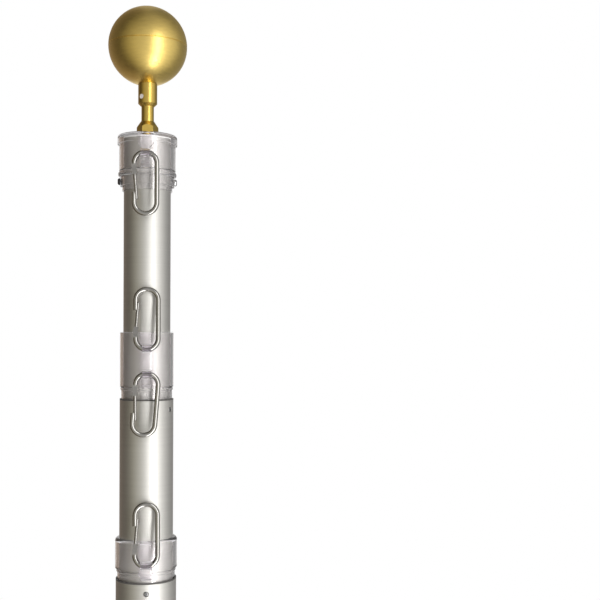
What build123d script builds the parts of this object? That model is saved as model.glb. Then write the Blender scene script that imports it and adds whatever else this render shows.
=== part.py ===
from build123d import *
import os
from math import asin, cos, degrees, radians, sin, sqrt

# Telescoping flagpole, lowered: three aluminium tubes, clear swivel rings with snap hooks, a ball
# finial. Origin at the middle of the foot on the ground, +Z up, hooks on the front side at -Y.

# Tubes
base_radius = 57.15 / 2
tube_step = 6.35 / 2        # by which each tube is slimmer than the one it slides in
mid_radius = base_radius - tube_step
top_radius = mid_radius - tube_step
tube_wall = 1.65
base_tube_top = 1248.5      # ground to the rim of the base tube
mid_tube_rise = 170.6       # base rim to mid rim, lowered
top_tube_rise = 247.2       # mid rim to top rim, lowered
rim_chamfer = 0.4

# Clearances
slide_gap = 0.3             # beside a sliding tube
turn_gap = 0.35             # beside a turning ring
seat_gap = 0.3              # between a moving piece and what it stands on
press_gap = 0.05            # round a pressed or screwed piece

# Plugs and feet inside the tubes
base_plug_height = 12.0
foot_height = 20.0
foot_spigot_height = 20.0
foot_bevel = 1.5
top_plug_depth = 30.0
top_plug_flange = 1.0

# Guide bushings at the tube rims
bushing_depth = 150.0
gasket_height = 1.2
base_flange_height = 8.9
mid_flange_height = 10.3
bushing_inset = 1.35        # flange narrower than its tube
bushing_lip = 0.8
bushing_lip_height = 2.4
bushing_screw_depth = 8.8   # screws below the rim
bushing_screw_count = 2
screw_head_radius = 2.3
screw_head_round = 0.9
screw_shank_radius = 1.25
base_screw_angle = 270.0    # straight ahead
mid_screw_angle = 331.0     # front right

# Swivel rings
low_ring_height = 29.8
low_ring_wall = 3.5
low_ring_round = 3.2        # top edge
mid_ring_height = 52.3
mid_ring_wall = 2.75
mid_ring_round = 0.8        # top edge
ring_bottom_bevel = 1.2
ring_bore_bevel = 0.6

# Cap ring over the top tube
cap_turn = -3.0             # degrees from straight ahead
cap_sleeve_height = 31.0
cap_sleeve_wall = 4.05
cap_plate_height = 3.0
cap_rim_overhang = 1.6
cap_rim_height = 8.7
cap_rim_round = 2.4
cap_rim_under_round = 1.0

# Lugs that carry the hooks
pad_width = 15.0
pad_proud = 1.8
fin_thickness = 8.5
low_fin_thickness = 10.5
fin_reach = 13.0            # front of the fin from the ring's outside
fin_round = 6.0
hole_reach = 7.4            # hook hole from the ring's outside
hole_radius = 3.6
lug_margin = 0.5            # pad and fin from the ends of a ring
pad_round = 2.5
mid_upper_hole = 37.3       # hook holes above the bottom of their ring
mid_lower_hole = 13.1
low_hole = 9.3
cap_hole = 12.3
low_fin_drop = 4.6          # fin and tab below the low ring
low_tab_width = 7.6         # at the lower end
cap_hood_clearance = 5.7    # hood above the hook hole

# Snap hooks
wire_radius = 2.3
bend_radius = 10.4
leg_length = 36.0
rivet_reach = 15.0          # wire apex to gate rivet
nose_reach = 37.0           # wire apex to the tip of the nose
lap_length = 7.0            # gate inside the nose
lap_gap = 0.15
tongue_thickness = 2.4
cheek_thickness = 0.95
cheek_gap = 0.15
cheek_length = 6.0
cheek_radius = 2.2
gate_radius = 1.5
gate_flat = 0.9             # flat of the gate's end from its axis
gate_lean = 4.6             # degrees by which the closed gate points inwards
rivet_radius = 1.0
rivet_head_radius = 1.8
rivet_head_height = 0.5
rivet_gap = 0.2
rest_gap = 0.3              # between a leaning hook and the tube behind it
hook_seat_gap = 0.3
mid_lower_sway = 4.4        # degrees by which this hook hangs round its bend, to the left

# Retaining collar below the cap ring
collar_height = 18.7
collar_foot_height = 4.9
collar_foot_wall = 1.4
collar_wall = 3.0
collar_bead_wall = 5.3
collar_bead_height = 5.2
collar_bead_round = 2.2
collar_boss_radius = 5.2
collar_boss_wall = 3.2
collar_screw_height = 9.1   # above the collar's foot
collar_screw_head_radius = 3.3
collar_screw_head_height = 2.6
collar_screw_head_round = 1.9
collar_screw_shank_radius = 1.5

# Spindle, nut and ball finial
spindle_radius = 5.9
spindle_chamfer = 1.2
spindle_depth = 26.0        # below the top rim, in the plug
washer_radius = 12.0
washer_height = 2.2
nut_flats = 17.8
nut_height = 11.2
nut_crown_radius = 6.6
nut_crown_height = 6.2
neck_radius = 9.0
neck_gap = 14.6             # nut to neck
neck_height = 21.5
neck_chamfer = 2.7
set_screw_radius = 2.4
set_screw_depth = 2.6
set_screw_drop = 12.0       # below the ball's lowest point
set_screw_angle = 228.0     # front left
ball_radius = 37.3
ball_wall = 1.2
ball_seam = 0.5
spindle_in_ball = 12.0

# Heights that follow from the sizes
mid_tube_top = base_tube_top + mid_tube_rise
top_tube_top = mid_tube_top + top_tube_rise
mid_foot_bottom = base_plug_height + seat_gap
mid_tube_bottom = mid_foot_bottom + foot_height
top_foot_bottom = mid_tube_bottom + foot_spigot_height + seat_gap
top_tube_bottom = top_foot_bottom + foot_height
low_ring_bottom = base_tube_top + gasket_height + base_flange_height + seat_gap
mid_ring_bottom = mid_tube_top + gasket_height + mid_flange_height + seat_gap
cap_plate_bottom = top_tube_top + top_plug_flange + seat_gap
cap_ring_bottom = cap_plate_bottom - cap_sleeve_height
cap_top = cap_plate_bottom + cap_plate_height
cap_rim_bottom = cap_top - cap_rim_height
collar_bottom = cap_ring_bottom - seat_gap - collar_height
washer_bottom = cap_top + seat_gap
nut_bottom = washer_bottom + washer_height
neck_bottom = nut_bottom + nut_height + neck_gap
ball_centre = neck_bottom + neck_height + sqrt(ball_radius**2 - neck_radius**2)

# Outsides of the rings, and where the hooks hang
low_ring_radius = mid_radius + turn_gap + low_ring_wall
mid_ring_radius = top_radius + turn_gap + mid_ring_wall
cap_ring_radius = top_radius + turn_gap + cap_sleeve_wall
rim_radius = cap_ring_radius + cap_rim_overhang
fin_face_turn = asin(max(fin_thickness, low_fin_thickness) / 2 / bend_radius)
wire_sag = bend_radius * (1 - cos(fin_face_turn))
wire_slant = wire_radius / cos(fin_face_turn)
hinge_shift = (wire_sag + wire_slant - wire_radius) / 2  # middle of the bent wire in the hole
hinge_drop = hole_radius - wire_radius - hinge_shift - hook_seat_gap
hook_reach = leg_length + 2 * bend_radius - hinge_shift


def finish(part, name, turn=0.0):
    """Writes a node, turned about the pole by the given degrees."""
    node = part.part.rotate(Axis.Z, turn)
    node.label = name
    export_step(node, f"parts/{name}.step")


def make_tube(name, outer_radius, bottom, top, screw_angle=None):
    """Drawn tube with broken edges, bored for flush bushing screws when it has a guide bushing."""
    with BuildPart() as tube:
        with BuildSketch(Plane.XY.offset(bottom)):
            Circle(outer_radius)
            Circle(outer_radius - tube_wall, mode=Mode.SUBTRACT)
        extrude(amount=top - bottom)
        chamfer(tube.edges().filter_by(GeomType.CIRCLE), rim_chamfer)
        if screw_angle is not None:
            for plane in screw_planes(top, screw_angle):
                with BuildSketch(plane):
                    Circle(screw_head_radius + press_gap)
                extrude(amount=outer_radius + tube_wall, mode=Mode.SUBTRACT)
    finish(tube, name)


def screw_planes(rim, first_angle):
    """Planes on the pole's axis that look out along each bushing screw."""
    planes = []
    for turn in range(bushing_screw_count):
        angle = radians(first_angle + turn * 360 / bushing_screw_count)
        outward = (cos(angle), sin(angle), 0)
        planes.append(Plane(origin=(0, 0, rim - bushing_screw_depth), z_dir=outward))
    return planes


def make_screw_head(plane, radius, height, edge_round):
    """Button head of a screw that stands on a plane."""
    with BuildPart() as head:
        with BuildSketch(plane):
            Circle(radius)
        extrude(amount=height)
        outer_edge = head.edges().filter_by(GeomType.CIRCLE).sort_by(Axis(plane.origin, plane.z_dir))[-1]
        fillet(outer_edge, edge_round)
    return head.part


def make_bushing(prefix, outer_radius, rim, inner_radius, flange_height, screw_angle):
    """Guide bushing in a tube's mouth: sleeve, narrow flange with a lip, gasket and flush screws."""
    bore = inner_radius + slide_gap
    sleeve = outer_radius - tube_wall - press_gap
    flange = outer_radius - bushing_inset
    flange_bottom = rim + gasket_height
    flange_top = flange_bottom + flange_height
    lip_bottom = flange_top - bushing_lip_height
    with BuildPart() as bushing:
        with BuildSketch(Plane.XZ):
            with BuildLine():
                Polyline(
                    (bore, rim - bushing_depth),
                    (sleeve, rim - bushing_depth),
                    (sleeve, flange_bottom),
                    (flange, flange_bottom),
                    (flange, lip_bottom),
                    (flange + bushing_lip, lip_bottom + bushing_lip),
                    (flange + bushing_lip, flange_top),
                    (bore, flange_top),
                    close=True,
                )
            make_face()
        revolve(axis=Axis.Z)
        for plane in screw_planes(rim, screw_angle):
            with BuildSketch(plane):
                Circle(screw_shank_radius + press_gap)
            extrude(amount=outer_radius, mode=Mode.SUBTRACT)
    finish(bushing, f"{prefix}_bushing")

    with BuildPart() as gasket:
        with BuildSketch(Plane.XY.offset(rim)):
            Circle(outer_radius)
            Circle(sleeve + press_gap, mode=Mode.SUBTRACT)
        extrude(amount=gasket_height)
    finish(gasket, f"{prefix}_gasket")

    head_seat = outer_radius - tube_wall + press_gap
    flush = sqrt(outer_radius**2 - screw_head_radius**2)
    with BuildPart() as screws:
        for plane in screw_planes(rim, screw_angle):
            add(make_screw_head(plane.offset(head_seat), screw_head_radius, flush - head_seat, screw_head_round))
            with BuildSketch(plane.offset(bore + press_gap)):
                Circle(screw_shank_radius)
            extrude(amount=head_seat - bore - press_gap)
    finish(screws, f"{prefix}_bushing_screws")


def make_foot(name, guide_radius, plug_radius, bottom):
    """Nylon foot of a sliding tube: a guide disc below the tube and a spigot up its bore."""
    with BuildPart() as foot:
        with BuildSketch(Plane.XY.offset(bottom)):
            Circle(guide_radius)
        extrude(amount=foot_height)
        chamfer(foot.edges().sort_by(Axis.Z)[0], foot_bevel)
        with BuildSketch(Plane.XY.offset(bottom + foot_height)):
            Circle(plug_radius)
        extrude(amount=foot_spigot_height)
    finish(foot, name)


def make_fin(ring_radius, root, bottom, top, thickness):
    """Upright fin on the front of a ring, with round outer corners."""
    front = ring_radius + fin_reach
    with BuildPart() as fin:
        with BuildSketch(Plane.YZ) as profile:
            with BuildLine():
                Polyline((-root, bottom), (-front, bottom), (-front, top), (-root, top), close=True)
            make_face()
            fillet(profile.vertices().group_by(Axis.Y)[0], fin_round)
        extrude(amount=thickness / 2, both=True)
    return fin.part


def make_dropped_fin(ring_radius, root, foot, drop, top, thickness):
    """Fin that runs on past the foot of its ring, where it and the pad narrow to a tab."""
    front = ring_radius + fin_reach
    bottom = foot - drop
    pad_front = ring_radius + pad_proud
    with BuildPart() as fin:
        with BuildSketch(Plane.YZ):
            with BuildLine():
                Polyline(
                    (-root, foot),
                    (-ring_radius, foot),
                    (-pad_front, bottom),
                    (-pad_front - pad_proud, bottom),
                    (-pad_front, foot + drop),
                    (-root, foot + drop),
                    close=True,
                )
            make_face()
        extrude(amount=pad_width / 2, both=True)
        with BuildSketch(Plane.YZ) as profile:
            with BuildLine():
                Polyline(
                    (-root, foot),
                    (-ring_radius, foot),
                    (-pad_front, bottom),
                    (-front, bottom),
                    (-front, top),
                    (-root, top),
                    close=True,
                )
            make_face()
            fillet(profile.vertices().group_by(Axis.Y)[0], fin_round)
        extrude(amount=thickness / 2, both=True)
        for side in (-1, 1):
            with BuildSketch(Plane.XZ.offset(root)):
                with BuildLine():
                    Polyline(
                        (side * low_tab_width / 2, bottom),
                        (side * pad_width, bottom),
                        (side * pad_width, foot),
                        (side * pad_width / 2, foot),
                        close=True,
                    )
                make_face()
            extrude(amount=front, mode=Mode.SUBTRACT)
    return fin.part


def make_swivel_ring(name, tube_radius, wall, bottom, height, top_round, thickness, holes, drop=0.0):
    """Clear ring that turns round a tube, with a pad and a drilled fin on its front."""
    bore = tube_radius + turn_gap
    ring_radius = bore + wall
    root = bore + wall / 2
    pad_bottom = bottom + lug_margin
    pad_top = bottom + height - lug_margin
    if drop:
        fin = make_dropped_fin(ring_radius, root, bottom, drop, pad_top, thickness)
    else:
        fin = make_fin(ring_radius, root, pad_bottom, pad_top, thickness)
    with BuildPart() as ring:
        with BuildSketch(Plane.XY.offset(bottom)):
            Circle(ring_radius)
        extrude(amount=height)
        fillet(ring.edges().sort_by(Axis.Z)[-1], top_round)
        chamfer(ring.edges().sort_by(Axis.Z)[0], ring_bottom_bevel)
        with BuildSketch(Plane.XZ.offset(root)):
            with Locations((0, (pad_bottom + pad_top) / 2)):
                RectangleRounded(pad_width, pad_top - pad_bottom, pad_round)
        extrude(amount=wall / 2 + pad_proud)
        add(fin)
        with BuildSketch(Plane.XY.offset(bottom)):
            Circle(bore)
        extrude(amount=height, mode=Mode.SUBTRACT)
        with BuildSketch(Plane.YZ):
            with Locations([(-(ring_radius + hole_reach), bottom + hole) for hole in holes]):
                Circle(hole_radius)
        extrude(amount=pad_width, both=True, mode=Mode.SUBTRACT)
    finish(ring, name)


def make_cap_ring():
    """Clear cap that turns on the top tube: sleeve, overhanging rim, hood and drilled fin."""
    bore = top_radius + turn_gap
    root = bore + cap_sleeve_wall / 2
    hole_height = cap_ring_bottom + cap_hole
    hood_bottom = hole_height + cap_hood_clearance
    fin_top = cap_rim_bottom + cap_rim_under_round
    fin = make_fin(cap_ring_radius, root, cap_ring_bottom, fin_top, fin_thickness)
    with BuildPart() as cap:
        with BuildSketch(Plane.XZ) as profile:
            with BuildLine():
                Polyline(
                    (0, cap_ring_bottom),
                    (cap_ring_radius, cap_ring_bottom),
                    (cap_ring_radius, cap_rim_bottom),
                    (rim_radius, cap_rim_bottom),
                    (rim_radius, cap_top),
                    (0, cap_top),
                    close=True,
                )
            make_face()
            rim_corners = profile.vertices().group_by(Axis.X)[-1].sort_by(Axis.Y)
            fillet(rim_corners[-1], cap_rim_round)
            fillet(rim_corners[0], cap_rim_under_round)
        revolve(axis=Axis.Z)
        chamfer(cap.edges().filter_by(GeomType.CIRCLE).sort_by(Axis.Z)[0], ring_bore_bevel)
        with BuildSketch(Plane.XZ.offset(root)) as hood:
            with Locations((0, hood_bottom)):
                Rectangle(pad_width, cap_top - cap_rim_round - hood_bottom, align=(Align.CENTER, Align.MIN))
            fillet(hood.vertices().group_by(Axis.Y)[0], fin_round)
        extrude(amount=cap_sleeve_wall / 2 + hole_reach)
        with BuildSketch(Plane.XZ.offset(root)):
            with Locations((0, cap_ring_bottom)):
                Rectangle(pad_width, cap_rim_bottom - cap_ring_bottom, align=(Align.CENTER, Align.MIN))
        extrude(amount=cap_sleeve_wall / 2 + pad_proud)
        add(fin)
        with BuildSketch(Plane.XY.offset(cap_ring_bottom)):
            Circle(bore)
        extrude(amount=cap_sleeve_height, mode=Mode.SUBTRACT)
        with BuildSketch(Plane.XY.offset(cap_plate_bottom)):
            Circle(spindle_radius + turn_gap)
        extrude(amount=cap_plate_height, mode=Mode.SUBTRACT)
        with BuildSketch(Plane.YZ):
            with Locations((-(cap_ring_radius + hole_reach), hole_height)):
                Circle(hole_radius)
        extrude(amount=pad_width, both=True, mode=Mode.SUBTRACT)
    finish(cap, "cap_ring", cap_turn)


def make_hook(prefix, ring_radius, hole_height, lean=None, sway=0.0, turn=0.0):
    """Snap hook of round wire with a riveted gate in its left leg.

    It hangs down, or stands up with the given lean towards the pole. It sways round its bend, and
    turns with its ring.
    """
    origin = (0, -(ring_radius + hole_reach), hole_height - hinge_drop)
    if lean is None:
        plane = Plane(origin=origin, x_dir=(1, 0, 0), z_dir=(0, 1, 0))
    else:
        tilt = radians(lean)
        plane = Plane(origin=origin, x_dir=(1, 0, 0), z_dir=(0, -cos(tilt), sin(tilt)))
    near_bend = bend_radius - hinge_shift
    sway_turn = radians(sway)
    swayed = Plane(
        origin=plane.from_local_coords((0, near_bend)),
        x_dir=plane.x_dir * cos(sway_turn) + plane.y_dir * sin(sway_turn),
        z_dir=plane.z_dir,
    )
    apex = swayed.from_local_coords((0, -near_bend))
    plane = Plane(origin=apex, x_dir=swayed.x_dir, z_dir=swayed.z_dir)
    far_bend = near_bend + leg_length
    rivet_at = rivet_reach - hinge_shift
    tongue_start = near_bend + 2 * rim_chamfer
    gate_turn = radians(gate_lean)
    gate_plane = Plane(
        origin=plane.from_local_coords((-bend_radius, rivet_at)),
        x_dir=plane.x_dir * cos(gate_turn) - plane.y_dir * sin(gate_turn),
        z_dir=plane.z_dir,
    )
    lap_start = nose_reach - rivet_reach
    lap_end = lap_start + lap_length
    with BuildPart() as wire:
        with BuildLine(plane) as path:
            Line((-bend_radius, tongue_start), (-bend_radius, near_bend))
            CenterArc((0, near_bend), bend_radius, 180, 180)
            Line((bend_radius, near_bend), (bend_radius, far_bend))
            CenterArc((0, far_bend), bend_radius, 0, 180)
            Line((-bend_radius, far_bend), (-bend_radius, nose_reach - hinge_shift))
        start = plane.from_local_coords((-bend_radius, tongue_start))
        with BuildSketch(Plane(origin=start, x_dir=plane.x_dir, z_dir=-plane.y_dir)):
            Circle(wire_radius)
        sweep(path=path.wires()[0])
        with BuildSketch(plane.offset(-tongue_thickness / 2)):
            with Locations((-bend_radius, rivet_at)):
                Circle(wire_radius)
                Rectangle(2 * wire_radius, rivet_at - near_bend, align=(Align.CENTER, Align.MAX))
        extrude(amount=tongue_thickness)
        with BuildSketch(gate_plane):
            Circle(rivet_radius + press_gap)
        extrude(amount=wire_radius, both=True, mode=Mode.SUBTRACT)
        with BuildSketch(gate_plane):
            with Locations((-gate_flat - lap_gap, lap_end + lap_gap)):
                Rectangle(2 * wire_radius, lap_length + wire_radius, align=(Align.MIN, Align.MAX))
        extrude(amount=wire_radius, both=True, mode=Mode.SUBTRACT)
    finish(wire, f"{prefix}_wire", turn)

    bridge = wire_radius + 2 * rivet_gap
    cheek_outside = tongue_thickness / 2 + cheek_gap + cheek_thickness
    with BuildPart() as gate:
        gate_start = gate_plane.from_local_coords((0, bridge))
        with BuildSketch(Plane(origin=gate_start, x_dir=gate_plane.x_dir, z_dir=gate_plane.y_dir)):
            Circle(gate_radius)
        extrude(amount=lap_end - bridge)
        chamfer(gate.edges().sort_by(Axis(gate_start, gate_plane.y_dir))[-1], rim_chamfer)
        with BuildSketch(gate_plane.offset(-cheek_outside)):
            Circle(cheek_radius)
            Rectangle(2 * cheek_radius, cheek_length, align=(Align.CENTER, Align.MIN))
        extrude(amount=2 * cheek_outside)
        with BuildSketch(gate_plane.offset(-tongue_thickness / 2 - cheek_gap)):
            with Locations((0, bridge)):
                Rectangle(2 * wire_radius, bridge + wire_radius, align=(Align.CENTER, Align.MAX))
        extrude(amount=tongue_thickness + 2 * cheek_gap, mode=Mode.SUBTRACT)
        with BuildSketch(gate_plane):
            Circle(rivet_radius + rivet_gap)
        extrude(amount=2 * wire_radius, both=True, mode=Mode.SUBTRACT)
        with BuildSketch(gate_plane):
            with Locations((-gate_flat, lap_start - lap_gap)):
                Rectangle(2 * gate_radius, lap_length + wire_radius, align=(Align.MAX, Align.MIN))
        extrude(amount=2 * gate_radius, both=True, mode=Mode.SUBTRACT)
    finish(gate, f"{prefix}_gate", turn)

    with BuildPart() as rivet:
        head_start = cheek_outside + cheek_gap
        with BuildSketch(gate_plane.offset(-head_start)):
            Circle(rivet_radius)
        extrude(amount=2 * head_start)
        for start in (-head_start - rivet_head_height, head_start):
            with BuildSketch(gate_plane.offset(start)):
                Circle(rivet_head_radius)
            extrude(amount=rivet_head_height)
    finish(rivet, f"{prefix}_rivet", turn)


def lean_to(tube_radius, ring_radius):
    """Angle in degrees by which a standing hook leans back until its far end meets the tube."""
    hinge = ring_radius + hole_reach
    gap = hinge - (tube_radius + rest_gap + wire_radius)
    return degrees(asin(gap / hook_reach))


os.makedirs("parts", exist_ok=True)

make_tube("base_tube", base_radius, 0, base_tube_top, base_screw_angle)
make_tube("mid_tube", mid_radius, mid_tube_bottom, mid_tube_top, mid_screw_angle)
make_tube("top_tube", top_radius, top_tube_bottom, top_tube_top)
make_bushing("base", base_radius, base_tube_top, mid_radius, base_flange_height, base_screw_angle)
make_bushing("mid", mid_radius, mid_tube_top, top_radius, mid_flange_height, mid_screw_angle)
make_foot(
    "mid_foot", base_radius - tube_wall - slide_gap, mid_radius - tube_wall - press_gap, mid_foot_bottom,
)
make_foot(
    "top_foot", mid_radius - tube_wall - slide_gap, top_radius - tube_wall - press_gap, top_foot_bottom,
)

with BuildPart() as base_plug:
    with BuildSketch():
        Circle(base_radius - tube_wall - press_gap)
    extrude(amount=base_plug_height)
finish(base_plug, "base_plug")

with BuildPart() as top_plug:
    with BuildSketch(Plane.XY.offset(top_tube_top - top_plug_depth)):
        Circle(top_radius - tube_wall - press_gap)
    extrude(amount=top_plug_depth)
    with BuildSketch(Plane.XY.offset(top_tube_top)):
        Circle(top_radius)
    extrude(amount=top_plug_flange)
    with BuildSketch(Plane.XY.offset(top_tube_top - spindle_depth)):
        Circle(spindle_radius + press_gap)
    extrude(amount=spindle_depth + top_plug_flange, mode=Mode.SUBTRACT)
finish(top_plug, "top_plug")

make_swivel_ring(
    "low_ring", mid_radius, low_ring_wall, low_ring_bottom, low_ring_height, low_ring_round,
    low_fin_thickness, [low_hole], low_fin_drop,
)
make_swivel_ring(
    "mid_ring", top_radius, mid_ring_wall, mid_ring_bottom, mid_ring_height, mid_ring_round,
    fin_thickness, [mid_lower_hole, mid_upper_hole],
)
make_cap_ring()

make_hook("top_hook", cap_ring_radius, cap_ring_bottom + cap_hole, turn=cap_turn)
make_hook(
    "mid_upper_hook", mid_ring_radius, mid_ring_bottom + mid_upper_hole,
    lean_to(top_radius, mid_ring_radius),
)
make_hook("mid_lower_hook", mid_ring_radius, mid_ring_bottom + mid_lower_hole, sway=mid_lower_sway)
make_hook(
    "low_hook", low_ring_radius, low_ring_bottom + low_hole,
    lean_to(mid_radius, low_ring_radius),
)

# Retaining collar: a clear clamp ring with a bead under the cap and a boss for each side screw
collar_bore = top_radius + press_gap
collar_top = collar_bottom + collar_height
foot_top = collar_bottom + collar_foot_height
bead_bottom = collar_top - collar_bead_height
screw_height = collar_bottom + collar_screw_height
boss_reach = top_radius + collar_boss_wall
with BuildPart() as retaining_collar:
    with BuildSketch(Plane.XZ) as profile:
        with BuildLine():
            Polyline(
                (0, collar_bottom),
                (top_radius + collar_foot_wall, collar_bottom),
                (top_radius + collar_foot_wall, foot_top),
                (top_radius + collar_wall, foot_top),
                (top_radius + collar_wall, bead_bottom),
                (top_radius + collar_bead_wall, bead_bottom),
                (top_radius + collar_bead_wall, collar_top),
                (0, collar_top),
                close=True,
            )
        make_face()
        fillet(profile.vertices().group_by(Axis.X)[-1], collar_bead_round)
    revolve(axis=Axis.Z)
    with BuildSketch(Plane.YZ.offset(-boss_reach)):
        with Locations((0, screw_height)):
            Circle(collar_boss_radius)
    extrude(amount=2 * boss_reach)
    with BuildSketch(Plane.XY.offset(collar_bottom)):
        Circle(collar_bore)
    extrude(amount=collar_height, mode=Mode.SUBTRACT)
    with BuildSketch(Plane.YZ):
        with Locations((0, screw_height)):
            Circle(collar_screw_shank_radius + press_gap)
    extrude(amount=boss_reach, both=True, mode=Mode.SUBTRACT)
finish(retaining_collar, "retaining_collar")

with BuildPart() as collar_screws:
    for outward in (-1, 1):
        plane = Plane(origin=(0, 0, screw_height), z_dir=(outward, 0, 0))
        with BuildSketch(plane.offset(collar_bore)):
            Circle(collar_screw_shank_radius)
        extrude(amount=boss_reach - collar_bore)
        add(
            make_screw_head(
                plane.offset(boss_reach), collar_screw_head_radius, collar_screw_head_height,
                collar_screw_head_round,
            )
        )
finish(collar_screws, "collar_screws")

# Spindle through the cap, with its washer and a hexagon nut with a conical crown
with BuildPart() as finial_spindle:
    with BuildSketch(Plane.XY.offset(top_tube_top - spindle_depth)):
        Circle(spindle_radius)
    extrude(amount=ball_centre - ball_radius + spindle_in_ball - top_tube_top + spindle_depth)
    chamfer(finial_spindle.edges().filter_by(GeomType.CIRCLE), spindle_chamfer)
finish(finial_spindle, "finial_spindle")

with BuildPart() as spindle_washer:
    with BuildSketch(Plane.XY.offset(washer_bottom)):
        Circle(washer_radius)
        Circle(spindle_radius + press_gap, mode=Mode.SUBTRACT)
    extrude(amount=washer_height)
finish(spindle_washer, "spindle_washer")

nut_corner = nut_flats / sqrt(3)
crown_top = nut_bottom + nut_height
crown_shoulder = (nut_corner + rim_chamfer, crown_top - nut_crown_height)
with BuildPart() as nut_crown:
    with BuildSketch(Plane.XZ):
        with BuildLine():
            Polyline(
                (0, crown_top),
                (0, nut_bottom),
                (crown_shoulder[0], nut_bottom),
                crown_shoulder,
                (nut_crown_radius, crown_top),
                close=True,
            )
        make_face()
    revolve(axis=Axis.Z)
with BuildPart() as spindle_nut:
    with BuildSketch(Plane.XY.offset(nut_bottom)):
        RegularPolygon(nut_flats / 2, 6, major_radius=False)
    extrude(amount=nut_height)
    add(nut_crown.part, mode=Mode.INTERSECT)
    with BuildSketch(Plane.XY.offset(nut_bottom)):
        Circle(spindle_radius + press_gap)
    extrude(amount=nut_height, mode=Mode.SUBTRACT)
finish(spindle_nut, "spindle_nut")

# Neck sleeve under the ball, with a set screw in its side
set_screw_height = ball_centre - ball_radius - set_screw_drop
set_screw_way = radians(set_screw_angle)
set_screw_plane = Plane(
    origin=(0, 0, set_screw_height), z_dir=(cos(set_screw_way), sin(set_screw_way), 0)
)
with BuildPart() as finial_neck:
    with BuildSketch(Plane.XY.offset(neck_bottom)):
        Circle(neck_radius)
    extrude(amount=neck_height)
    chamfer(finial_neck.edges().sort_by(Axis.Z)[0], neck_chamfer)
    with Locations((0, 0, ball_centre)):
        Sphere(ball_radius + press_gap, mode=Mode.SUBTRACT)
    with BuildSketch(Plane.XY.offset(neck_bottom)):
        Circle(spindle_radius + press_gap)
    extrude(amount=neck_height, mode=Mode.SUBTRACT)
    with BuildSketch(set_screw_plane):
        Circle(set_screw_radius + press_gap)
    extrude(amount=neck_radius, mode=Mode.SUBTRACT)
finish(finial_neck, "finial_neck")

with BuildPart() as neck_set_screw:
    with BuildSketch(set_screw_plane.offset(spindle_radius + press_gap)):
        Circle(set_screw_radius)
    extrude(amount=set_screw_depth)
finish(neck_set_screw, "neck_set_screw")

# Ball of two spun halves that meet in a fine seam
for half, side in (("upper", 1), ("lower", -1)):
    with BuildPart() as ball_half:
        with BuildSketch(Plane.XZ):
            with BuildLine():
                inner = ball_radius - ball_wall
                seam_start = sqrt(ball_radius**2 - ball_seam**2)
                pole_gap = 0 if side > 0 else spindle_radius + press_gap
                outer_end = (pole_gap, ball_centre + side * sqrt(ball_radius**2 - pole_gap**2))
                inner_end = (pole_gap, ball_centre + side * sqrt(inner**2 - pole_gap**2))
                Line((inner, ball_centre), (ball_radius - ball_seam, ball_centre))
                Line((ball_radius - ball_seam, ball_centre), (seam_start, ball_centre + side * ball_seam))
                RadiusArc((seam_start, ball_centre + side * ball_seam), outer_end, -side * ball_radius)
                Line(outer_end, inner_end)
                RadiusArc(inner_end, (inner, ball_centre), side * inner)
            make_face()
        revolve(axis=Axis.Z)
    finish(ball_half, f"ball_{half}_half")
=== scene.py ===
import math

import bmesh
import bpy
from mathutils import Matrix, Vector


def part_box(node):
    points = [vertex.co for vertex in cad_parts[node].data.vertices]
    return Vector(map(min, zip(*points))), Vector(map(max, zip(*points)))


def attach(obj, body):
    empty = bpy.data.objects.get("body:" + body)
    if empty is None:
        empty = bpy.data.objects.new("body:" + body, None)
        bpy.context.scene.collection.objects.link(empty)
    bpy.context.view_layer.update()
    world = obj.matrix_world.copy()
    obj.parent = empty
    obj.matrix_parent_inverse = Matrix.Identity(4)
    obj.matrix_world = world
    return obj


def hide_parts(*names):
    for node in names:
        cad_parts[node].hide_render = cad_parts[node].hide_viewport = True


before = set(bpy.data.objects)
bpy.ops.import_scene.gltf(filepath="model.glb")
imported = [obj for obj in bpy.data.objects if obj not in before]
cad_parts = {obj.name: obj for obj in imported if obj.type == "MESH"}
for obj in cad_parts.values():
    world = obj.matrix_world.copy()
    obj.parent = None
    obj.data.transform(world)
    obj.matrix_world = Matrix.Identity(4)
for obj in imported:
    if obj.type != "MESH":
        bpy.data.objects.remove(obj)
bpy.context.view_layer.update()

# The base tube: drawn aluminium, brushed round and round and left in its silver colour. It is cut
# square at both ends and its edges are broken. Near the mouth two holes are drilled through the
# wall, opposite each other, for the screws that hold the bushing.
tube_segments = 144
tube_wall = 0.00165
rim_break = 0.0004
screw_depth = 0.0088
screw_hole_radius = 0.0026
screw_hole_corners = 20
hole_band = 2 * screw_hole_radius
hole_reach = 3 * screw_hole_radius
base_screw_angle = 270.0
same_height = 0.0001
sharp_corner = math.radians(35)
facing_out = 0.999
aluminium_silver = (0.66, 0.65, 0.62)
brush_lines = (5.0, 5.0, 420.0)
brush_shades = (0.90, 1.09)
brush_roughness = (0.54, 0.64)
groove_relief = 0.25
groove_depth = 0.00005


def new_material(name):
    """A node material, its nodes and links, and its Principled shader."""
    material = bpy.data.materials.new(name)
    material.use_nodes = True
    tree = material.node_tree
    return material, tree.nodes, tree.links, tree.nodes["Principled BSDF"]


def add_noise(nodes, links, stretch, scale, detail, roughness=0.5):
    """Noise in the piece's own coordinates, drawn out along its axes."""
    place = nodes.new("ShaderNodeTexCoord")
    drawn = nodes.new("ShaderNodeMapping")
    drawn.inputs["Scale"].default_value = stretch
    noise = nodes.new("ShaderNodeTexNoise")
    noise.inputs["Scale"].default_value = scale
    noise.inputs["Detail"].default_value = detail
    noise.inputs["Roughness"].default_value = roughness
    links.new(place.outputs["Object"], drawn.inputs["Vector"])
    links.new(drawn.outputs["Vector"], noise.inputs["Vector"])
    return noise.outputs["Fac"]


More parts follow.
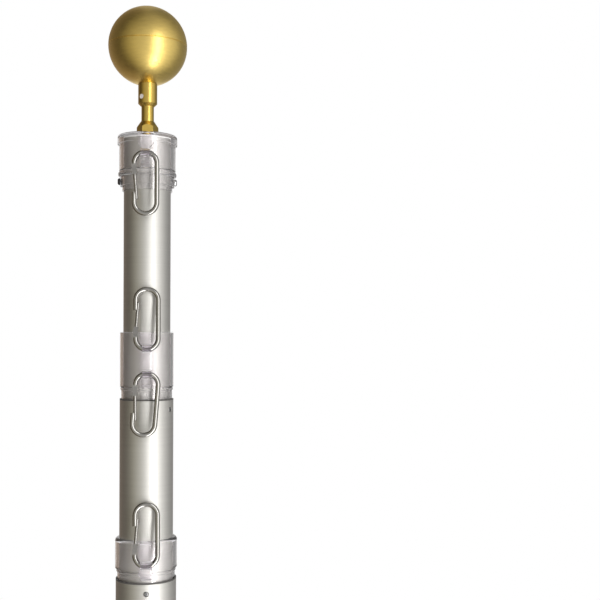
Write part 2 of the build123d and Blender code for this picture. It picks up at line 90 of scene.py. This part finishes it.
def add_slope(nodes, links, value, start, end, low, high):
    """A value that goes evenly from low to high while another goes from start to end."""
    slope = nodes.new("ShaderNodeMapRange")
    sockets = ("From Min", "From Max", "To Min", "To Max")
    for socket, setting in zip(sockets, (start, end, low, high)):
        slope.inputs[socket].default_value = setting
    links.new(value, slope.inputs["Value"])
    return slope.outputs["Result"]


def add_tone(nodes, links, value, first, last):
    """A colour that goes from first to last while a value goes from 0 to 1."""
    tone = nodes.new("ShaderNodeMix")
    tone.data_type = "RGBA"
    tone.inputs["A"].default_value = [*first, 1.0]
    tone.inputs["B"].default_value = [*last, 1.0]
    links.new(value, tone.inputs["Factor"])
    return tone.outputs["Result"]


def follow_pattern(nodes, links, shader, pattern, colour, shades, roughness, relief, depth):
    """Lets the colour, the gloss and the skin of a finish all follow one pattern."""
    darker, lighter = ([shade * c for c in colour] for shade in shades)
    tone = add_tone(nodes, links, pattern, darker, lighter)
    gloss = add_slope(nodes, links, pattern, 0.0, 1.0, *roughness)
    skin = nodes.new("ShaderNodeBump")
    skin.inputs["Strength"].default_value = relief
    skin.inputs["Distance"].default_value = depth
    links.new(pattern, skin.inputs["Height"])
    links.new(tone, shader.inputs["Base Color"])
    links.new(gloss, shader.inputs["Roughness"])
    links.new(skin.outputs["Normal"], shader.inputs["Normal"])


def brushed_aluminium(name, silver):
    """Satin aluminium with brush lines that run round the tube, some fine and some broad."""
    material, nodes, links, shader = new_material(name)
    lines = add_noise(nodes, links, brush_lines, scale=1.0, detail=4.0, roughness=0.72)
    follow_pattern(
        nodes, links, shader, lines, silver, brush_shades, brush_roughness, groove_relief,
        groove_depth,
    )
    shader.inputs["Metallic"].default_value = 1.0
    shader.inputs["Anisotropic"].default_value = 0.35
    shader.inputs["Anisotropic Rotation"].default_value = 0.25
    return material


def cut_hole(shape, centre, outward):
    """Cuts a round screw hole into the skin of a tube, one plane to a corner, and opens it."""
    near = [
        f for f in shape.faces
        if (f.calc_center_median() - centre).length < hole_reach
        and abs(f.calc_center_median().z - centre.z) < same_height
    ]
    up = Vector((0, 0, 1))
    side = outward.cross(up)
    for corner in range(screw_hole_corners):
        turn = 2 * math.pi * corner / screw_hole_corners
        away = side * math.cos(turn) + up * math.sin(turn)
        edges = {e for f in near for e in f.edges}
        corner_points = {v for e in edges for v in e.verts}
        cut = bmesh.ops.bisect_plane(
            shape, geom=[*near, *edges, *corner_points],
            plane_co=centre + away * screw_hole_radius, plane_no=away,
        )
        near = [g for g in cut["geom"] if isinstance(g, bmesh.types.BMFace)]
    inside = [
        f for f in near
        if (f.calc_center_median() - centre).cross(outward).length < screw_hole_radius
    ]
    bmesh.ops.delete(shape, geom=inside, context="FACES")


def shade_round(mesh):
    """Gives the outside of a tube the normals of a true round, also beside its screw holes."""
    normals = [Vector()] * len(mesh.loops)
    for face in mesh.polygons:
        outward = Vector((face.center.x, face.center.y, 0)).normalized()
        if face.normal.dot(outward) > facing_out:
            for loop in face.loop_indices:
                spot = mesh.vertices[mesh.loops[loop].vertex_index].co
                normals[loop] = Vector((spot.x, spot.y, 0)).normalized()
    mesh.normals_split_custom_set(normals)


def make_tube(name, node, body, screw_angle=None):
    """A tube with the outside and length of its node, its wall, broken rims and screw holes."""
    low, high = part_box(node)
    radius = (high.x - low.x) / 2
    hole_height = high.z - screw_depth
    shape = bmesh.new()
    bmesh.ops.create_circle(
        shape, segments=tube_segments, radius=radius, matrix=Matrix.Translation((0, 0, low.z)),
    )
    loop = shape.edges[:]
    for height in (hole_height - hole_band, hole_height + hole_band, high.z):
        grown = bmesh.ops.extrude_edge_only(shape, edges=loop)["geom"]
        for v in (g for g in grown if isinstance(g, bmesh.types.BMVert)):
            v.co.z = height
        loop = [g for g in grown if isinstance(g, bmesh.types.BMEdge) and g.is_boundary]
    bmesh.ops.recalc_face_normals(shape, faces=shape.faces)
    if screw_angle is not None:
        for angle in (screw_angle, screw_angle + 180):
            outward = Vector((math.cos(math.radians(angle)), math.sin(math.radians(angle)), 0))
            cut_hole(shape, outward * radius + Vector((0, 0, hole_height)), outward)
    bmesh.ops.solidify(shape, geom=shape.faces, thickness=tube_wall)
    rims = [
        e for e in shape.edges
        if any(all(abs(v.co.z - end) < same_height for v in e.verts) for end in (low.z, high.z))
        and e.calc_face_angle(0.0) > sharp_corner
    ]
    bmesh.ops.bevel(
        shape, geom=rims, offset=rim_break, segments=2, profile=0.5, affect="EDGES", material=-1,
    )
    for face in shape.faces:
        face.smooth = True
    for edge in shape.edges:
        edge.smooth = edge.calc_face_angle(math.pi) < sharp_corner
    mesh = bpy.data.meshes.new(name)
    shape.to_mesh(mesh)
    shape.free()
    shade_round(mesh)
    mesh.materials.append(tube_metal)
    piece = bpy.data.objects.new(name, mesh)
    bpy.context.scene.collection.objects.link(piece)
    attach(piece, body)
    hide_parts(node)


tube_metal = brushed_aluminium("brushed_silver_aluminium", aluminium_silver)
make_tube("base_tube_wall", "base_tube", "base_section", base_screw_angle)

# The mid tube slides in the base tube and the top tube in the mid tube, in the same drawn and
# brushed aluminium. The mid tube has two screw holes of its own, the top tube none.
mid_screw_angle = 331.0
make_tube("mid_tube_wall", "mid_tube", "mid_section", mid_screw_angle)
make_tube("top_tube_wall", "top_tube", "top_section")

# The plugs that close the base and top tubes and the feet that guide the sliding tubes inside:
# turned white nylon, pressed in. They only show when a section is drawn out or from below.
nylon_white = (0.75, 0.75, 0.72)
grain_shades = (0.90, 1.10)
grain_gloss = (0.8, 1.2)
grain_relief = 0.3


def dress(names, material):
    """Gives carried-over nodes their material."""
    for name in names:
        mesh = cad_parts[name].data
        mesh.materials.clear()
        mesh.materials.append(material)


def grained(name, colour, roughness, metallic, grain, depth, stretch=(1.0, 1.0, 1.0)):
    """A finish with fine grain in its tone, gloss and surface. Grain is how many to a metre."""
    material, nodes, links, shader = new_material(name)
    specks = add_noise(nodes, links, stretch, scale=grain, detail=3.0)
    gloss = [roughness * share for share in grain_gloss]
    follow_pattern(nodes, links, shader, specks, colour, grain_shades, gloss, grain_relief, depth)
    shader.inputs["Metallic"].default_value = metallic
    return material


white_nylon = grained(
    "turned_white_nylon", nylon_white, roughness=0.45, metallic=0.0, grain=700.0, depth=0.00005,
    stretch=(1.0, 1.0, 4.0),
)
dress(["base_plug", "mid_foot", "top_foot", "top_plug"], white_nylon)

# The bushings in the mouths of the base and mid tubes: flanged sleeves moulded in clear plastic,
# which turns faintly violet where the light goes the long way through. The next tube runs in them.
plastic_clear = (0.91, 0.895, 0.91)
plastic_thick = (0.89, 0.85, 0.91)
thick_reach = 0.002
skin_margin = 0.0005
mould_polish = 0.04
turned_frost = 0.28
frost_from_slope = 0.25
frost_full_slope = 0.45
ripples_to_a_metre = 90.0
ripple_height = 0.0003
thin_ripple = 0.15
thick_ripple = 1.0
plastic_bends_light = 1.49


def clear_plastic(name, thick_radius):
    """Clear plastic, polished on the round, matt on level and sloping faces, wavier if thick."""
    material, nodes, links, shader = new_material(name)
    place = nodes.new("ShaderNodeTexCoord")
    flat = nodes.new("ShaderNodeMapping")
    flat.inputs["Scale"].default_value = (1.0, 1.0, 0.0)
    reach = nodes.new("ShaderNodeVectorMath")
    reach.operation = "LENGTH"
    links.new(place.outputs["Object"], flat.inputs["Vector"])
    links.new(flat.outputs["Vector"], reach.inputs[0])
    thick_end = thick_radius + thick_reach
    depth = add_slope(nodes, links, reach.outputs["Value"], thick_radius, thick_end, 0.0, 1.0)
    tint = add_tone(nodes, links, depth, plastic_clear, plastic_thick)
    links.new(tint, shader.inputs["Base Color"])
    wave = nodes.new("ShaderNodeBump")
    wave.inputs["Distance"].default_value = ripple_height
    ripple = add_noise(nodes, links, (1.0, 1.0, 1.0), scale=ripples_to_a_metre, detail=2.0)
    swell = add_slope(nodes, links, depth, 0.0, 1.0, thin_ripple, thick_ripple)
    links.new(ripple, wave.inputs["Height"])
    links.new(swell, wave.inputs["Strength"])
    links.new(wave.outputs["Normal"], shader.inputs["Normal"])
    skin = nodes.new("ShaderNodeNewGeometry")
    upright = nodes.new("ShaderNodeSeparateXYZ")
    level = nodes.new("ShaderNodeMath")
    level.operation = "ABSOLUTE"
    links.new(skin.outputs["True Normal"], upright.inputs["Vector"])
    links.new(upright.outputs["Z"], level.inputs[0])
    frost = add_slope(
        nodes, links, level.outputs["Value"], frost_from_slope, frost_full_slope,
        mould_polish, turned_frost,
    )
    links.new(frost, shader.inputs["Roughness"])
    shader.inputs["IOR"].default_value = plastic_bends_light
    shader.inputs["Transmission Weight"].default_value = 1.0
    return material


def make_clear(node):
    """Gives a node clear plastic that lets the light through to the tube behind it."""
    low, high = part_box(node)
    dress([node], clear_plastic("clear_" + node, high.x + skin_margin))
    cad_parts[node].visible_shadow = False


make_clear("base_bushing")
make_clear("mid_bushing")

# The gaskets between each tube's rim and the flange of its bushing: thin rings punched from dark
# rubber sheet.
rubber_dark = (0.085, 0.080, 0.075)
dark_rubber = grained(
    "dark_gasket_rubber", rubber_dark, roughness=0.6, metallic=0.0, grain=900.0, depth=0.00008,
)
dress(["base_gasket", "mid_gasket"], dark_rubber)

# The bushing screws: small round-headed steel screws, two to a bushing, driven through the tube's
# wall until their heads are nearly flush with it. Their steel is given dark grey, as painted shade
# for the hollow round each head.
# Dark grey: painted shade round the screw heads, darker than the steel's own colour.
screw_grey_painted_shade = (0.30, 0.30, 0.30)
shaded_screw_steel = grained(
    "screw_steel_painted_shade", screw_grey_painted_shade, roughness=0.15, metallic=1.0, grain=1500.0, depth=0.00002,
)
dress(["base_bushing_screws", "mid_bushing_screws"], shaded_screw_steel)

# The two turning rings and the cap: clear plastic again, each with a pad and a drilled fin that
# carries the hooks. The rings ride on the bushings' flanges and the cap on its collar.
make_clear("low_ring")
make_clear("mid_ring")
make_clear("cap_ring")

# The collar that keeps the cap at its height: a clear plastic ring held on the top tube by two
# round-headed steel screws in its sides. The left screw is given near black, as painted shade on the
# side away from the lamps, and the right one bare steel.
make_clear("retaining_collar")
# Near black: painted shade on the left screw, which faces away from the lamps.
left_screw_painted_shade = (0.09, 0.09, 0.095)
bare_silver = (0.62, 0.62, 0.62)
shaded_left_screw_steel = grained(
    "left_screw_steel_painted_shade", left_screw_painted_shade, roughness=0.3, metallic=1.0, grain=1500.0, depth=0.00002,
)
bare_steel = grained(
    "bare_screw_steel", bare_silver, roughness=0.25, metallic=1.0, grain=1500.0, depth=0.00002,
)
dress(["collar_screws"], shaded_left_screw_steel)
# The screw on the left keeps the painted shade, the one on the right takes the bare steel.
collar_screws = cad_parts["collar_screws"].data
collar_screws.materials.append(bare_steel)
for face in collar_screws.polygons:
    if face.center.x > 0:
        face.material_index = 1

# The snap hooks: round steel wire bent to a long loop and polished, each closed by a gate of
# thinner wire, whose two pressed cheeks lap the end of the loop and turn on a small rivet.
hook_silver = (0.38, 0.37, 0.35)
gate_silver = (0.33, 0.32, 0.305)
polished_steel = grained(
    "polished_hook_steel", hook_silver, roughness=0.08, metallic=1.0, grain=400.0, depth=0.00002,
)
pressed_steel = grained(
    "pressed_gate_steel", gate_silver, roughness=0.14, metallic=1.0, grain=900.0, depth=0.00003,
)
hook_wires = [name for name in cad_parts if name.endswith("_hook_wire")]
gates_and_rivets = [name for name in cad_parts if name.endswith(("_hook_gate", "_hook_rivet"))]
dress(hook_wires, polished_steel)
dress(gates_and_rivets, pressed_steel)

# The spindle that carries the finial, with its nut drawn down on the cap over a plated washer. The
# spindle and nut are satin gold.
washer_silver = (0.60, 0.60, 0.60)
neck_gold_yellow = (0.64, 0.45, 0.11)
plated_steel = grained(
    "plated_washer_steel", washer_silver, roughness=0.2, metallic=1.0, grain=900.0, depth=0.00002,
)
turned_gold = grained(
    "turned_satin_gold", neck_gold_yellow, roughness=0.32, metallic=1.0, grain=220.0, depth=0.00003,
    stretch=(1.0, 1.0, 6.0),
)
dress(["spindle_washer"], plated_steel)
dress(["finial_spindle", "spindle_nut"], turned_gold)

# The neck sleeve under the ball, turned and gilded like the spindle, and the bright set screw that
# holds it to the spindle.
set_screw_silver = (0.88, 0.82, 0.80)
bright_zinc = grained(
    "bright_set_screw_zinc", set_screw_silver, roughness=0.4, metallic=0.2, grain=1500.0,
    depth=0.00002,
)
dress(["finial_neck"], turned_gold)
dress(["neck_set_screw"], bright_zinc)

# The ball: two spun aluminium cups that meet at a fine seam round the middle, anodised in satin
# gold. The upper cup came out a little duller than the lower one.
gold_yellow = (0.78, 0.58, 0.18)
cup_roughness = {"lower": 0.36, "upper": 0.42}
for cup, roughness in cup_roughness.items():
    satin_gold = grained(
        f"satin_gold_{cup}_cup", gold_yellow, roughness, metallic=1.0, grain=160.0, depth=0.00004,
        stretch=(1.0, 1.0, 5.0),
    )
    dress([f"ball_{cup}_half"], satin_gold)

# The studio floor: pale card that the pole stands on and casts its shadow on. It glows a little,
# fades to plain white away from the pole, and isn't mirrored by the metal.
floor_radius = 5.0
floor_segments = 96
floor_pale = (0.9, 0.9, 0.9, 1.0)
card_end = 0.8
white_start = 4.5
glow_at_pole = 0.5
floor_shape = bmesh.new()
bmesh.ops.create_circle(floor_shape, cap_ends=True, segments=floor_segments, radius=floor_radius)
floor_mesh = bpy.data.meshes.new("floor")
floor_shape.to_mesh(floor_mesh)
floor_shape.free()
floor = bpy.data.objects.new("floor", floor_mesh)
bpy.context.scene.collection.objects.link(floor)
pale_card, nodes, links, card = new_material("pale_floor_card")
card.inputs["Base Color"].default_value = floor_pale
card.inputs["Roughness"].default_value = 0.8
place = nodes.new("ShaderNodeTexCoord")
reach = nodes.new("ShaderNodeVectorMath")
reach.operation = "LENGTH"
links.new(place.outputs["Object"], reach.inputs[0])
fade = add_slope(nodes, links, reach.outputs["Value"], card_end, white_start, glow_at_pole, 1.0)
white = nodes.new("ShaderNodeEmission")
faded_card = nodes.new("ShaderNodeMixShader")
links.new(fade, faded_card.inputs["Fac"])
links.new(card.outputs["BSDF"], faded_card.inputs[1])
links.new(white.outputs["Emission"], faded_card.inputs[2])
links.new(faded_card.outputs["Shader"], nodes["Material Output"].inputs["Surface"])
floor_mesh.materials.append(pale_card)
floor.visible_glossy = False

# The studio surround: a white backdrop, which the camera sees, which shows through the plastic and
# which metal mirrors from behind the pole; card flats beside the camera for the metal to mirror,
# dark on the left and pale on the right; and an even pale sky for all else.
dusky = (1.0, 0.82, 0.68)
olive = (1.0, 0.92, 0.68)
warm = (1.0, 0.96, 0.82)
plain = (1.0, 0.99, 0.97)
flats = [
    (-90, 0.06, dusky), (-60, 0.36, olive), (-35, 0.64, warm), (-11, 0.68, plain), (0, 0.72, plain),
    (30, 0.92, plain), (60, 1.0, plain), (85, 0.74, plain), (106, 0.28, plain), (128, 0.24, plain),
    (165, 0.40, plain), (170, 1.0, plain), (190, 1.0, plain), (195, 0.45, dusky), (230, 0.24, dusky),
    (270, 0.06, dusky),
]
flats_dim_from = 0.15
flats_dimmest_at = 0.95
flats_dimmest = 0.45
sky_level = 0.5
card_white = (1.0, 1.0, 1.0, 1.0)
studio = bpy.data.worlds.new("studio")
bpy.context.scene.world = studio
studio.use_nodes = True
nodes, links = studio.node_tree.nodes, studio.node_tree.links
rays = nodes.new("ShaderNodeLightPath")
direction = nodes.new("ShaderNodeTexCoord")
round_pole = nodes.new("ShaderNodeTexGradient")
round_pole.gradient_type = "RADIAL"
links.new(direction.outputs["Generated"], round_pole.inputs["Vector"])
across = nodes.new("ShaderNodeValToRGB")
stops = across.color_ramp.elements
stops.remove(stops[1])
for number, (azimuth, level, tint) in enumerate(flats):
    turn = (azimuth + 90) / 360
    stop = stops.new(turn) if number else stops[0]
    stop.position = turn
    stop.color = [level * c for c in tint] + [1.0]
links.new(round_pole.outputs["Fac"], across.inputs["Fac"])
split = nodes.new("ShaderNodeSeparateXYZ")
links.new(direction.outputs["Generated"], split.inputs["Vector"])
height = split.outputs["Z"]
upwards = add_slope(nodes, links, height, flats_dim_from, flats_dimmest_at, 1.0, flats_dimmest)
surround = nodes.new("ShaderNodeBackground")
links.new(across.outputs["Color"], surround.inputs["Color"])
links.new(upwards, surround.inputs["Strength"])
backdrop = nodes.new("ShaderNodeBackground")
backdrop.inputs["Color"].default_value = card_white
sky = nodes.new("ShaderNodeBackground")
sky.inputs["Color"].default_value = card_white
sky.inputs["Strength"].default_value = sky_level
mirrored = nodes.new("ShaderNodeMath")
mirrored.operation = "GREATER_THAN"
mirrored.inputs[1].default_value = 0.5
links.new(rays.outputs["Glossy Depth"], mirrored.inputs[0])
direct = nodes.new("ShaderNodeMath")
direct.operation = "MAXIMUM"
links.new(rays.outputs["Is Camera Ray"], direct.inputs[0])
links.new(rays.outputs["Is Transmission Ray"], direct.inputs[1])
seen = nodes.new("ShaderNodeMixShader")
links.new(direct.outputs["Value"], seen.inputs["Fac"])
links.new(sky.outputs["Background"], seen.inputs[1])
links.new(backdrop.outputs["Background"], seen.inputs[2])
whole = nodes.new("ShaderNodeMixShader")
links.new(mirrored.outputs["Value"], whole.inputs["Fac"])
links.new(seen.outputs["Shader"], whole.inputs[1])
links.new(surround.outputs["Background"], whole.inputs[2])
links.new(whole.outputs["Shader"], nodes["World Output"].inputs["Surface"])

# The lamps: two narrow soft boxes, one above the other, to the right of the camera. The lower one is
# the stronger, so that the hooks throw their shadows up and to the left.
lamp_azimuth = math.radians(29)
lamp_distance = 0.6
lamp_width = 0.17
lamps = [("low_soft_box", 0.70, 1.00, 8.2), ("high_soft_box", 1.60, 0.80, 4.5)]
for name, height, tall, radiance in lamps:
    lamp = bpy.data.lights.new(name, "AREA")
    lamp.shape = "RECTANGLE"
    lamp.size = lamp_width
    lamp.size_y = tall
    lamp.energy = radiance * math.pi * lamp_width * tall
    stand = bpy.data.objects.new(name, lamp)
    stand.matrix_world = (
        Matrix.Rotation(lamp_azimuth, 4, "Z")
        @ Matrix.Translation((0, -lamp_distance, height))
        @ Matrix.Rotation(math.radians(90), 4, "X")
    )
    stand.visible_camera = False
    bpy.context.scene.collection.objects.link(stand)

# The camera: level, at the height of the mid ring and a metre in front of the pole, turned so that
# the pole stands left of the middle of a square picture.
eye_height = 1.4756
eye_distance = 0.999
picture_pixels = 600
pixel_at_pole = 0.000956
pole_pixels_left = 154.8
horizon_pixels_down = 41
film_width = 36.0
yaw = math.atan(pole_pixels_left * pixel_at_pole / eye_distance)
roll = math.radians(0.2)
camera_data = bpy.data.cameras.new("camera")
camera_data.sensor_width = film_width
camera_data.lens = film_width * eye_distance * math.cos(yaw) / (pixel_at_pole * picture_pixels)
camera_data.shift_y = horizon_pixels_down / picture_pixels
camera = bpy.data.objects.new("camera", camera_data)
camera.matrix_world = (
    Matrix.Translation((0, -eye_distance, eye_height))
    @ Matrix.Rotation(-yaw, 4, "Z")
    @ Matrix.Rotation(math.radians(90), 4, "X")
    @ Matrix.Rotation(roll, 4, "Z")
)
bpy.context.scene.collection.objects.link(camera)
bpy.context.scene.camera = camera
bpy.context.scene.view_settings.view_transform = "Standard"
